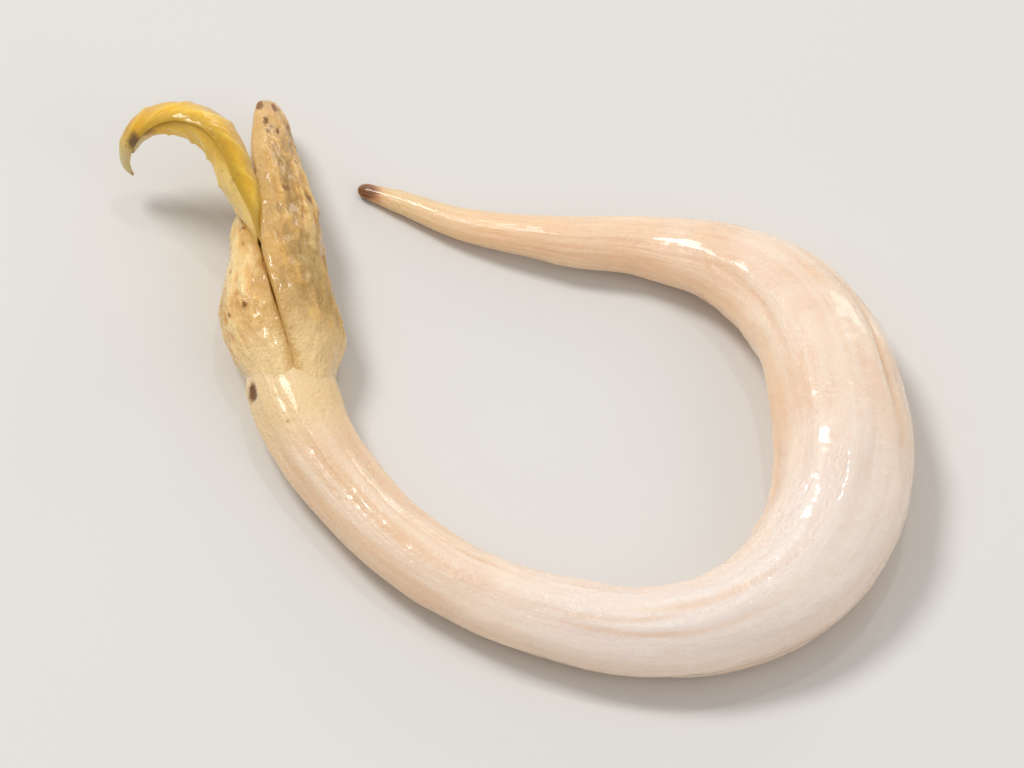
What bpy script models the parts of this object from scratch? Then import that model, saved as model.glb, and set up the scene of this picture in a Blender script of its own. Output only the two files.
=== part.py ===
"""One cooked mung bean sprout, lying on a flat surface, at its real size.

The white stalk curls round in a loop that its thin brown root nearly closes.
At its head stand the two halves of the seed, and two yellow leaves come out between them.

Metres, +Z up, +Y away from the viewer. The origin is the middle of the underside of the sprout's box.
"""

import math

import bmesh
import bpy
from mathutils import Matrix, Vector

MM = 0.001

# Driving dimensions, in millimetres until MM turns them into metres.
LOOP_MIDDLE = (1.949, 0.163)  # the middle of the stalk's loop, from the origin
STALK_HEIGHT = 0.80  # the limp stalk's height over its width
PRESSED = 0.10  # how far the stalk's and the seed halves' undersides are pressed flat
HEAD_BASE = (-6.95, 0.25)  # where the seed halves meet the stalk, from the loop's middle
HEAD_LEAN = math.radians(10.0)  # the seed halves' lean, left of +Y
SEAM_BOW = 0.22  # how far the seam between the seed halves bows to the left
SEAM_GAP = 0.14  # free width between the seed halves' rims
BASE_GAP = 0.30  # what each seed half leaves free beside the end of the stalk
BASE_GAP_POWER = 8  # how soon that gap closes
OPENS = (0.2, 0.6)  # the stretch of a seed half's length in which it opens from the seam
HOLLOW = 0.30  # depth of the hollow in each seed half's inner face
TAPERS_FROM = 0.3  # the share of its length at which a seed half starts to get thinner
RIM_FALL = 0.2  # how much lower its upper rim is at the tip
LEAF_THICK = 0.20
LEAF_STALK = 0.14  # half of a leaf stalk's width
LEAF_GAP = 0.14  # free width between the two leaves' edges
STALK_SHARE = 0.27  # a leaf stalk's share of the leaf line's length
BLADE_RISE = 0.8  # under 1, the blade is widest nearer to its stalk
BLADE_FULLNESS = 0.9
BLADE_END = (0.8, 1.0)  # the stretch of the blade in which its least width shrinks
BLADE_END_SHARE = 0.4  # to this share of the stalk's width
# The leaves stand on edge between the seed halves and turn over on their way down.
LEAF_TURN = (math.radians(78.0), math.radians(5.0))
TURNS = (0.62, 0.97)  # the stretch of the line in which they do

# The stalk's line from the root tip to the head: x and y from the loop's middle,
# half of its width, and how far its underside is lifted off the surface.
STALK_LINE = (
    (-5.30, 5.72, 0.13, 0.02),
    (-4.60, 5.42, 0.26, 0.05),
    (-2.95, 4.60, 0.40, 0.18),
    (-0.95, 4.05, 0.56, 0.26),
    (1.35, 3.82, 0.76, 0.12),
    (3.35, 3.02, 1.12, 0.0),
    (4.75, 1.40, 1.40, 0.0),
    (5.42, -0.80, 1.54, 0.0),
    (5.50, -2.95, 1.56, 0.0),
    (4.85, -4.90, 1.48, 0.0),
    (3.40, -6.28, 1.30, 0.0),
    (1.25, -6.80, 1.13, 0.02),
    (-0.80, -6.42, 1.02, 0.06),
    (-2.82, -5.58, 0.94, 0.12),
    (-4.35, -4.42, 0.90, 0.14),
    (-5.53, -3.05, 0.90, 0.12),
    (-6.38, -1.62, 0.92, 0.12),
    (-6.82, -0.35, 0.88, 0.18),
    (-6.93, 0.08, 0.70, 0.36),
    (-7.02, 0.40, 0.22, 0.78),
    (-7.14, 0.92, 0.16, 0.84),
)

# Each seed half: the side of the seam that it stands on, its length, thickness and height,
# what its tip keeps of that thickness, how blunt its base and tip are (2 is round), and how
# far it opens at the tip.
SEED_HALVES = {
    "cotyledon_left": {
        "side": -1, "length": 4.5, "thick": 1.02, "height": 2.30,
        "tip_share": 0.45, "base_power": 3.0, "tip_power": 2.0, "opening": 0.30,
    },
    "cotyledon_right": {
        "side": 1, "length": 7.4, "thick": 1.45, "height": 2.45,
        "tip_share": 0.92, "base_power": 2.2, "tip_power": 3.0, "opening": 0.18,
    },
}

# The two leaves lie face to face, and the line runs between them. Each leaf: the side of the
# line that its back is on, its share of the line, half of its width, and its fold's depth.
LEAVES = {
    "leaf_outer": {"side": 1, "share": 1.00, "half_width": 0.48, "fold": 0.32},
    "leaf_inner": {"side": -1, "share": 0.93, "half_width": 0.44, "fold": 0.22},
}

# The leaves' line from between the seed halves, over the arch and down to the tip, in the
# head's frame: across the seam, along it, and up.
LEAF_LINE = (
    (-0.16, 1.25, 1.30),
    (-0.18, 2.15, 1.36),
    (-0.17, 3.00, 1.44),
    (-0.22, 3.75, 1.64),
    (-0.38, 4.30, 1.82),
    (-0.54, 4.75, 2.04),
    (-0.67, 5.24, 2.28),
    (-0.97, 5.74, 2.42),
    (-1.47, 6.15, 2.40),
    (-2.04, 6.38, 2.18),
    (-2.48, 6.37, 1.80),
    (-2.67, 6.26, 1.30),
    (-2.58, 6.01, 0.75),
)

COLOURS = {  # base colour, roughness
    "stalk": ((0.80, 0.72, 0.60), 0.30),
    "seed_left": ((0.68, 0.46, 0.20), 0.42),
    "seed_right": ((0.55, 0.38, 0.15), 0.42),
    "leaf": ((0.82, 0.56, 0.08), 0.38),
}


def clear_scene():
    for obj in list(bpy.data.objects):
        bpy.data.objects.remove(obj, do_unlink=True)


def new_collection(name):
    made = bpy.data.collections.new(name)
    bpy.context.scene.collection.children.link(made)
    return made


def new_material(name):
    colour, roughness = COLOURS[name]
    material = bpy.data.materials.new(name)
    material.use_nodes = True
    shader = material.node_tree.nodes["Principled BSDF"]
    shader.inputs["Base Color"].default_value = (*colour, 1.0)
    shader.inputs["Roughness"].default_value = roughness
    shader.inputs["Metallic"].default_value = 0.0
    return material


def from_loop(x, y, z=0.0):
    """A point given from the loop's middle, in millimetres, in the sprout's frame and metres."""
    return Vector((x + LOOP_MIDDLE[0], y + LOOP_MIDDLE[1], z)) * MM


def ease(value, low, high):
    """0 below low, 1 above high, and a smooth rise between them."""
    share = min(max((value - low) / (high - low), 0.0), 1.0)
    return share * share * (3 - 2 * share)


def guide_line(name, points, radii=None, resolution=6):
    """A smooth curve object through the points."""
    data = bpy.data.curves.new(name, "CURVE")
    data.dimensions = "3D"
    data.resolution_u = resolution
    spline = data.splines.new("BEZIER")
    spline.radius_interpolation = "CARDINAL"
    spline.bezier_points.add(len(points) - 1)
    for index, point in enumerate(points):
        knot = spline.bezier_points[index]
        knot.co = point
        knot.handle_left_type = "AUTO"
        knot.handle_right_type = "AUTO"
        knot.radius = radii[index] if radii else 1.0
    return bpy.data.objects.new(name, data)


def as_mesh(curve_object, name):
    """The curve object made a mesh with welded caps; the curve is removed."""
    bpy.context.view_layer.update()
    graph = bpy.context.evaluated_depsgraph_get()
    mesh = bpy.data.meshes.new_from_object(curve_object.evaluated_get(graph))
    shape = bmesh.new()
    shape.from_mesh(mesh)
    bmesh.ops.remove_doubles(shape, verts=shape.verts, dist=1e-7)
    bmesh.ops.recalc_face_normals(shape, faces=shape.faces)
    shape.to_mesh(mesh)
    shape.free()
    made = bpy.data.objects.new(name, mesh)
    made.matrix_world = curve_object.matrix_world
    bpy.data.objects.remove(curve_object, do_unlink=True)
    return made


def make_surface(collection):
    """The cutter for the undersides: a block whose top is the surface that the sprout lies on."""
    side = 40 * MM
    depth = 6 * MM
    shape = bmesh.new()
    bmesh.ops.create_cube(shape, size=1.0)
    bmesh.ops.transform(shape, verts=shape.verts, matrix=Matrix.Diagonal((side, side, depth, 1.0)))
    mesh = bpy.data.meshes.new("surface_block")
    shape.to_mesh(mesh)
    shape.free()
    block = bpy.data.objects.new("surface_block", mesh)
    block.location = (0, 0, -depth / 2)
    block.hide_render = True
    block.display_type = "WIRE"
    collection.objects.link(block)
    return block


def press_flat(obj, surface):
    """Cuts off what would reach below the surface."""
    cut = obj.modifiers.new("pressed_flat", "BOOLEAN")
    cut.operation = "DIFFERENCE"
    cut.solver = "EXACT"
    cut.object = surface


def make_stalk(parts, surface):
    """The stalk with its root: one tapering tube of oval section, which grew as one piece."""
    points = []
    radii = []
    for x, y, half_width, lift in STALK_LINE:
        point = from_loop(x, y, half_width * STALK_HEIGHT + lift - PRESSED)
        # the line is drawn tall and flattened afterwards, which makes the section oval
        point.z /= STALK_HEIGHT
        points.append(point)
        radii.append(half_width)
    line = guide_line("stalk_line", points, radii, resolution=5)
    line.data.twist_mode = "Z_UP"
    line.data.bevel_depth = MM
    line.data.bevel_resolution = 4
    line.data.use_fill_caps = True
    parts.objects.link(line)
    stalk = as_mesh(line, "stem")
    stalk.data.transform(Matrix.Diagonal((1.0, 1.0, STALK_HEIGHT, 1.0)))
    stalk.data.shade_smooth()
    stalk.data.materials.append(new_material("stalk"))
    parts.objects.link(stalk)
    press_flat(stalk, surface)


def make_seed_half(name, head, parts, surface):
    """Half of the seed on its edge: hollow towards the seam, and round outside."""
    half = SEED_HALVES[name]
    side = half["side"]
    shape = bmesh.new()
    bmesh.ops.create_uvsphere(shape, u_segments=28, v_segments=20, radius=1.0)
    turn = Matrix.Rotation(math.pi / 2, 3, "X")
    bmesh.ops.rotate(shape, verts=shape.verts, cent=(0, 0, 0), matrix=turn)
    for vertex in shape.verts:
        along = (vertex.co.y + 1) / 2
        power = half["tip_power"] if vertex.co.y > 0 else half["base_power"]
        section = max(0.0, 1 - abs(vertex.co.y) ** power) ** (1 / power)
        around = Vector((vertex.co.x, vertex.co.z))
        around = around.normalized() * section if around.length > 1e-6 else Vector((0, 0))
        outward = side * around.x
        if outward > 0:
            taper = (1 - half["tip_share"]) * ease(along, TAPERS_FROM, 1.0)
            depth = outward * half["thick"] * (1 - taper)
        else:
            depth = HOLLOW * outward**2
        free = SEAM_GAP / 2 + BASE_GAP * (1 - along) ** BASE_GAP_POWER
        free += half["opening"] * ease(along, *OPENS)
        x = side * (free + depth) - SEAM_BOW * math.sin(math.pi * along)
        # the underside runs level, and the upper rim falls towards the tip
        z = (around.y + 1) * half["height"] / 2 * (1 - RIM_FALL * along) - PRESSED
        vertex.co = Vector((x, along * half["length"], z)) * MM
    bmesh.ops.recalc_face_normals(shape, faces=shape.faces)
    mesh = bpy.data.meshes.new(name)
    shape.to_mesh(mesh)
    shape.free()
    mesh.shade_smooth()
    mesh.set_sharp_from_angle(angle=math.radians(50))
    mesh.materials.append(new_material("seed_left" if side < 0 else "seed_right"))
    made = bpy.data.objects.new(name, mesh)
    made.parent = head
    parts.objects.link(made)
    press_flat(made, surface)


def make_leaf(name, line, line_length, head, parts):
    """A blade folded along its midrib, on a thin stalk, bent along the leaves' line."""
    leaf = LEAVES[name]
    share = leaf["share"]
    rest = (LEAF_GAP + LEAF_THICK) / 2  # from the line to the middle of the leaf's thickness
    shape = bmesh.new()
    bmesh.ops.create_grid(shape, x_segments=48, y_segments=6, size=0.5)
    for vertex in shape.verts:
        along = (vertex.co.x + 0.5) * share
        across = vertex.co.y * 2
        # the blade opens from the end of its stalk, and closes to a blunt tip
        blade = max(0.0, (along - STALK_SHARE) / (share - STALK_SHARE))
        opened = 0.0
        if 0 < blade < 1:
            opened = math.sin(math.pi * blade**BLADE_RISE) ** BLADE_FULLNESS
        least = LEAF_STALK * (1 - (1 - BLADE_END_SHARE) * ease(blade, *BLADE_END))
        width = least + (leaf["half_width"] - LEAF_STALK) * opened
        lift = leaf["side"] * (rest + leaf["fold"] * opened * (1 - abs(across)))
        vertex.co = Vector((along * line_length, across * width * MM, lift * MM))
    mesh = bpy.data.meshes.new(name)
    shape.to_mesh(mesh)
    shape.free()
    mesh.materials.append(new_material("leaf"))
    made = bpy.data.objects.new(name, mesh)
    made.parent = head
    parts.objects.link(made)
    wall = made.modifiers.new("thickness", "SOLIDIFY")
    wall.thickness = LEAF_THICK * MM
    wall.offset = 0.0
    bend = made.modifiers.new("along_the_line", "CURVE")
    bend.object = line
    bend.deform_axis = "POS_X"


def main():
    clear_scene()
    parts = new_collection("bean_sprout")
    helpers = new_collection("cutters_and_guides")
    surface = make_surface(helpers)
    make_stalk(parts, surface)
    head = bpy.data.objects.new("head", None)
    head.location = from_loop(*HEAD_BASE)
    head.rotation_euler = (0, 0, HEAD_LEAN)
    parts.objects.link(head)
    for name in SEED_HALVES:
        make_seed_half(name, head, parts, surface)
    points = [Vector(point) * MM for point in LEAF_LINE]
    line = guide_line("leaf_line", points, resolution=12)
    line.hide_render = True
    line.display_type = "WIRE"
    line.parent = head
    helpers.objects.link(line)
    knots = line.data.splines[0].bezier_points
    runs = [(b - a).length for a, b in zip(points, points[1:])]
    line_length = sum(runs)
    for index, knot in enumerate(knots):
        turned = ease(sum(runs[:index]) / line_length, *TURNS)
        knot.tilt = LEAF_TURN[0] + (LEAF_TURN[1] - LEAF_TURN[0]) * turned
    for name in LEAVES:
        make_leaf(name, line, line_length, head, parts)


main()
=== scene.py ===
import math
import bpy
import numpy as np
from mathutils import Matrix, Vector, noise


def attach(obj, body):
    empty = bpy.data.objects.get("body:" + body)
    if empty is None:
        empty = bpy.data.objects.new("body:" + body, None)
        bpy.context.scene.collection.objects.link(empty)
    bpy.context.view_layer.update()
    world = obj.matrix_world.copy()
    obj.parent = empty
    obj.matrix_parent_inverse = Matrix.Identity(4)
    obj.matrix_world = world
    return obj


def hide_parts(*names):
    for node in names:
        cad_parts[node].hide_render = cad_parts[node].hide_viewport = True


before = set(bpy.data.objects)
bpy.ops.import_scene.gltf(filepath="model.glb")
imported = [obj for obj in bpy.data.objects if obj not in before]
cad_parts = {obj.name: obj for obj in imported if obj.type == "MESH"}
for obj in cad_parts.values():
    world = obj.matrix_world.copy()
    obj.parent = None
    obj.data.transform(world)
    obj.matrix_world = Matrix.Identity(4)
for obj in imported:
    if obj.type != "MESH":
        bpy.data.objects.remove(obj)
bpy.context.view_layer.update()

# One cooked mung bean sprout: its finished surfaces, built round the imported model.
# Lengths in the settings are in millimetres, and mm turns them into metres.
mm = 0.001
print("frame loaded:", ", ".join(sorted(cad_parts)))

# where the loop's middle and the head stand, as in the model
loopMiddle = (1.949, 0.163)
head = {"base": (-6.95, 0.25), "lean": math.radians(10.0)}


# small helpers


def deselectAll():
    for obj in bpy.context.selected_objects:
        obj.select_set(False)


def makeActive(obj):
    deselectAll()
    obj.select_set(True)
    bpy.context.view_layer.objects.active = obj


def applyModifier(obj, modifier):
    makeActive(obj)
    bpy.ops.object.modifier_apply(modifier=modifier.name)


def turnFacesOut(obj):
    makeActive(obj)
    bpy.ops.object.mode_set(mode="EDIT")
    bpy.ops.mesh.select_all(action="SELECT")
    bpy.ops.mesh.normals_make_consistent(inside=False)
    bpy.ops.object.mode_set(mode="OBJECT")


def getPoints(obj):
    points = np.zeros(len(obj.data.vertices) * 3)
    obj.data.vertices.foreach_get("co", points)
    return points.reshape(-1, 3)


def setPoints(obj, points):
    obj.data.vertices.foreach_set("co", points.ravel())
    obj.data.update()


def storeValue(obj, name, values):
    layer = obj.data.attributes.new(name, "FLOAT", "POINT")
    layer.data.foreach_set("value", np.asarray(values, dtype=np.float32))


def storeVector(obj, name, values):
    layer = obj.data.attributes.new(name, "FLOAT_VECTOR", "POINT")
    layer.data.foreach_set("vector", np.asarray(values, dtype=np.float32).ravel())


def ease(values, low, high):
    share = np.clip((values - low) / (high - low), 0, 1)
    return share * share * (3 - 2 * share)


def hump(values, middle, width):
    return np.exp(-(((values - middle) / width) ** 2))


def roundedEnd(share):
    # 0 at the very end and 1 from share 1 on, as a quarter circle
    return np.sqrt(np.clip(1 - (1 - np.clip(share, 0, 1)) ** 2, 0, 1))


def softMin(a, b, sharpness):
    return -np.log(np.exp(-sharpness * a) + np.exp(-sharpness * b)) / sharpness


def angleGap(a, b):
    return (a - b + math.pi) % (2 * math.pi) - math.pi


def grain(x, y, z):
    # smooth noise from -1 to 1 at each point
    return np.array([noise.noise(Vector(p)) for p in zip(x.tolist(), y.tolist(), z.tolist())])


def grainAlong(values, pitch, seed):
    # noise that changes along one direction only, so it is worked out once for each value
    steps, back = np.unique(np.round(values, 4), return_inverse=True)
    line = np.array([noise.noise(Vector((v / pitch, seed, seed * 0.37))) for v in steps])
    return line[back]


def closeness(obj, others, reach):
    # 1 where the piece touches one of the others, falling to 0 at reach in mm
    points = getPoints(obj)
    near = np.zeros(len(points))
    for other in others:
        theirs = getPoints(other)
        low, high = theirs.min(axis=0) - reach * mm, theirs.max(axis=0) + reach * mm
        for index in np.flatnonzero(np.all((points > low) & (points < high), axis=1)):
            found, place, _, _ = other.closest_point_on_mesh(points[index], distance=reach * mm)
            if found:
                away = (Vector(points[index]) - place).length / mm
                near[index] = max(near[index], 1 - away / reach)
    return near


def tube(name, length, sides, cuts):
    # a closed tube of radius 1 along +X, cut into rings in passes; its ends are fans
    deselectAll()
    bpy.ops.mesh.primitive_cylinder_add(
        vertices=sides, radius=1, depth=length, end_fill_type="TRIFAN",
        rotation=(0, math.pi / 2, 0), location=(length / 2, 0, 0),
    )
    obj = bpy.context.object
    obj.name = name
    obj.data.name = name
    bpy.ops.object.transform_apply(location=True, rotation=True, scale=True)
    for number in cuts:
        bpy.ops.object.mode_set(mode="EDIT")
        bpy.ops.mesh.select_mode(type="EDGE")
        bpy.ops.mesh.select_all(action="DESELECT")
        bpy.ops.object.mode_set(mode="OBJECT")
        for edge in obj.data.edges:
            a, b = (obj.data.vertices[i].co for i in edge.vertices)
            edge.select = abs(a.x - b.x) > 0
        bpy.ops.object.mode_set(mode="EDIT")
        bpy.ops.mesh.subdivide(number_cuts=number)
        bpy.ops.object.mode_set(mode="OBJECT")
    return obj


def guideCurve(name, points, radii=None, twist="MINIMUM"):
    data = bpy.data.curves.new(name, "CURVE")
    data.dimensions = "3D"
    data.twist_mode = twist
    data.resolution_u = 24
    data.use_radius = radii is not None
    spline = data.splines.new("BEZIER")
    spline.radius_interpolation = "CARDINAL"
    spline.bezier_points.add(len(points) - 1)
    for index, point in enumerate(points):
        knot = spline.bezier_points[index]
        knot.co = point
        knot.handle_left_type = knot.handle_right_type = "AUTO"
        knot.radius = radii[index] if radii else 1
    guide = bpy.data.objects.new(name, data)
    bpy.context.scene.collection.objects.link(guide)
    bpy.context.view_layer.update()
    return guide


def bendAlong(obj, guide):
    bend = obj.modifiers.new("bend", "CURVE")
    bend.object = guide
    bend.deform_axis = "POS_X"
    applyModifier(obj, bend)
    bpy.data.objects.remove(guide, do_unlink=True)


def fromHead(points):
    # points in the head's frame (across the seam, along it, up) to the sprout's frame, in metres
    c, s = math.cos(head["lean"]), math.sin(head["lean"])
    x, y, z = points.T
    baseX, baseY = head["base"][0] + loopMiddle[0], head["base"][1] + loopMiddle[1]
    return np.column_stack((baseX + x * c - y * s, baseY + x * s + y * c, z)) * mm


def layDown(points, softness):
    # presses what would reach below the surface flat on it, without a sharp edge
    clear = 12  # this many softnesses above the surface, nothing changes
    k = softness * mm
    z = points[:, 2]
    points[:, 2] = np.where(z > clear * k, z, k * np.log1p(np.exp(np.minimum(z / k, clear))))


stainEdge = {"reach": 2.5, "ragged": 0.30, "alongPitch": 3.0, "aroundPitch": 3.5}


def stainedAt(stains, along, angle, radius, seed):
    # uneven spots: place along in mm, angle in degrees, half length, half width in mm, strength
    total = np.zeros(len(along))
    for place, turn, halfLength, halfWidth, strength in stains:
        aside = angleGap(angle, math.radians(turn)) * radius
        away = np.hypot((along - place) / halfLength, aside / halfWidth)
        near = away < stainEdge["reach"]
        around = stainEdge["aroundPitch"]
        wobble = grain(along[near] * stainEdge["alongPitch"] + seed,
                       np.cos(angle[near]) * around, np.sin(angle[near]) * around)
        away[near] *= 1 + stainEdge["ragged"] * wobble
        total = np.maximum(total, strength * np.exp(-(away**2)) * near)
    return total


# shader node groups that more than one finish uses


def newGroup(name, inputs, outputs):
    group = bpy.data.node_groups.new(name, "ShaderNodeTree")
    for label, kind, value in inputs:
        socket = group.interface.new_socket(label, in_out="INPUT", socket_type="NodeSocket" + kind)
        if value is not None:
            socket.default_value = value
    for label, kind in outputs:
        group.interface.new_socket(label, in_out="OUTPUT", socket_type="NodeSocket" + kind)
    return group, group.nodes.new("NodeGroupInput"), group.nodes.new("NodeGroupOutput")


class Board:
    # short words for placing and joining shader nodes

    def __init__(self, tree):
        self.tree = tree

    def link(self, source, target):
        self.tree.links.new(source, target)

    def put(self, node, key, value):
        if value is None:
            return
        if isinstance(value, bpy.types.NodeSocket):
            self.link(value, node.inputs[key])
        else:
            node.inputs[key].default_value = value

    def math(self, kind, a, b=None, c=None):
        node = self.tree.nodes.new("ShaderNodeMath")
        node.operation = kind
        for key, value in enumerate((a, b, c)):
            self.put(node, key, value)
        return node.outputs[0]

    def vector(self, kind, a, b=None, scale=None):
        node = self.tree.nodes.new("ShaderNodeVectorMath")
        node.operation = kind
        self.put(node, 0, a)
        self.put(node, 1, b)
        self.put(node, "Scale", scale)
        return node.outputs[0]

    def noise(self, vector, scale, detail=2.0, roughness=0.5, distortion=0.0):
        node = self.tree.nodes.new("ShaderNodeTexNoise")
        self.put(node, "Vector", vector)
        self.put(node, "Scale", scale)
        self.put(node, "Detail", detail)
        self.put(node, "Roughness", roughness)
        self.put(node, "Distortion", distortion)
        return node.outputs["Fac"]

    def cells(self, vector, scale, feature="F1"):
        node = self.tree.nodes.new("ShaderNodeTexVoronoi")
        node.feature = feature
        self.put(node, "Vector", vector)
        self.put(node, "Scale", scale)
        return node.outputs["Distance"]

    def span(self, value, low, high, toLow=0.0, toHigh=1.0):
        # value from low..high to toLow..toHigh, with soft ends
        node = self.tree.nodes.new("ShaderNodeMapRange")
        node.interpolation_type = "SMOOTHSTEP"
        for key, item in zip(
            ("Value", "From Min", "From Max", "To Min", "To Max"), (value, low, high, toLow, toHigh)
        ):
            self.put(node, key, item)
        return node.outputs["Result"]

    def mix(self, share, a, b):
        node = self.tree.nodes.new("ShaderNodeMix")
        node.data_type = "RGBA"
        for key, value in zip((0, 6, 7), (share, a, b)):
            if isinstance(value, tuple):
                value = (*value, 1.0)
            self.put(node, key, value)
        return node.outputs[2]

    def attribute(self, name, kind="Fac"):
        node = self.tree.nodes.new("ShaderNodeAttribute")
        node.attribute_name = name
        return node.outputs[kind]

    def layers(self, base, rows):
        # lays each row's colour over the ones before, as its mask and its share say
        for mask, colour, share in rows:
            base = self.mix(self.math("MULTIPLY", mask, share), base, colour)
        return base

    def bump(self, height, distance, strength):
        node = self.tree.nodes.new("ShaderNodeBump")
        self.put(node, "Height", height)
        self.put(node, "Distance", distance)
        self.put(node, "Strength", strength)
        return node.outputs["Normal"]

    def group(self, group, **values):
        node = self.tree.nodes.new("ShaderNodeGroup")
        node.node_tree = group
        for key, value in values.items():
            self.put(node, key, value)
        return node.outputs


def makeFibreGroup():
    # strands that run lengthwise; Skin is along, and twice around, in millimetres
    group, start, end = newGroup(
        "lengthwiseFibres",
        [("Skin", "Vector", None), ("Stretch", "Float", 0.08), ("Density", "Float", 5.0)],
        [("Strands", "Float"), ("Fine", "Float")],
    )
    board = Board(group)
    squeeze = group.nodes.new("ShaderNodeCombineXYZ")
    board.link(start.outputs["Stretch"], squeeze.inputs[0])
    squeeze.inputs[1].default_value = 1.0
    squeeze.inputs[2].default_value = 1.0
    drawn = board.vector("MULTIPLY", start.outputs["Skin"], squeeze.outputs[0])
    coarse = board.noise(drawn, start.outputs["Density"], 3.0, 0.55, 0.3)
    fine = board.noise(drawn, board.math("MULTIPLY", start.outputs["Density"], 3.4), 2.0, 0.5)
    board.link(board.span(coarse, 0.42, 0.66), end.inputs["Strands"])
    board.link(fine, end.inputs["Fine"])
    return group


def makeFreckleGroup():
    # small brown specks of uneven size, in patches
    group, start, end = newGroup(
        "freckles",
        [("Place", "Vector", None), ("Pitch", "Float", 3.0), ("Amount", "Float", 0.5)],
        [("Specks", "Float")],
    )
    board = Board(group)
    wobble = board.noise(start.outputs["Place"], 5.0, 2.0)
    shifted = board.vector("ADD", start.outputs["Place"], board.vector("SCALE", wobble, scale=0.25))
    near = board.span(board.cells(shifted, start.outputs["Pitch"]), 0.10, 0.30, 1.0, 0.0)
    patch = board.noise(start.outputs["Place"], 1.1, 1.0)
    gate = board.span(board.math("ADD", patch, start.outputs["Amount"]), 0.85, 1.0)
    board.link(board.math("MULTIPLY", near, gate), end.inputs["Specks"])
    return group


def makeWetGroup():
    # the wet film: a fine uneven height, and drier and wetter patches
    group, start, end = newGroup(
        "wetFilm",
        [("Place", "Vector", None), ("Dry", "Float", 0.36), ("Wet", "Float", 0.14)],
        [("Height", "Float"), ("Roughness", "Float"), ("Coat", "Float")],
    )
    board = Board(group)
    pebble = board.noise(start.outputs["Place"], 6.0, 3.0, 0.6)
    pores = board.cells(start.outputs["Place"], 15.0, "SMOOTH_F1")
    height = board.math("MULTIPLY_ADD", pores, 0.35, pebble)
    patch = board.span(board.noise(start.outputs["Place"], 0.9, 2.0), 0.34, 0.68)
    gap = board.math("SUBTRACT", start.outputs["Wet"], start.outputs["Dry"])
    board.link(height, end.inputs["Height"])
    board.link(board.math("MULTIPLY_ADD", patch, gap, start.outputs["Dry"]), end.inputs["Roughness"])
    board.link(board.math("MULTIPLY_ADD", patch, 0.50, 0.25), end.inputs["Coat"])
    return group


fibreGroup = makeFibreGroup()
freckleGroup = makeFreckleGroup()
wetGroup = makeWetGroup()


def newFinish(name):
    material = bpy.data.materials.new(name)
    material.use_nodes = True
    board = Board(material.node_tree)
    shader = material.node_tree.nodes["Principled BSDF"]
    place = material.node_tree.nodes.new("ShaderNodeTexCoord").outputs["Object"]
    return material, board, shader, board.vector("SCALE", place, scale=1 / mm)


def makeTissue(board, shader, tissue, colour, coat, glow, film, fibres):
    # wet plant flesh: glow is how much of the light spreads inside it
    board.link(colour, shader.inputs["Base Color"])
    board.link(film["Roughness"], shader.inputs["Roughness"])
    board.link(coat, shader.inputs["Coat Weight"])
    board.link(glow, shader.inputs["Subsurface Weight"])
    height = board.math("MULTIPLY_ADD", fibres["Fine"], tissue["fibreHeight"], film["Height"])
    bump = board.bump(height, tissue["bumpDepth"] * mm, tissue["bumpStrength"])
    board.link(bump, shader.inputs["Normal"])
    # the same all over the surface, so set on the shader's own sockets
    shader.inputs["Subsurface Radius"].default_value = tissue["spread"]
    shader.inputs["Subsurface Scale"].default_value = tissue["spreadScale"] * mm
    shader.inputs["IOR"].default_value = tissue["ior"]
    shader.inputs["Coat Roughness"].default_value = tissue["coatRoughness"]


# the stalk with its root

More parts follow.
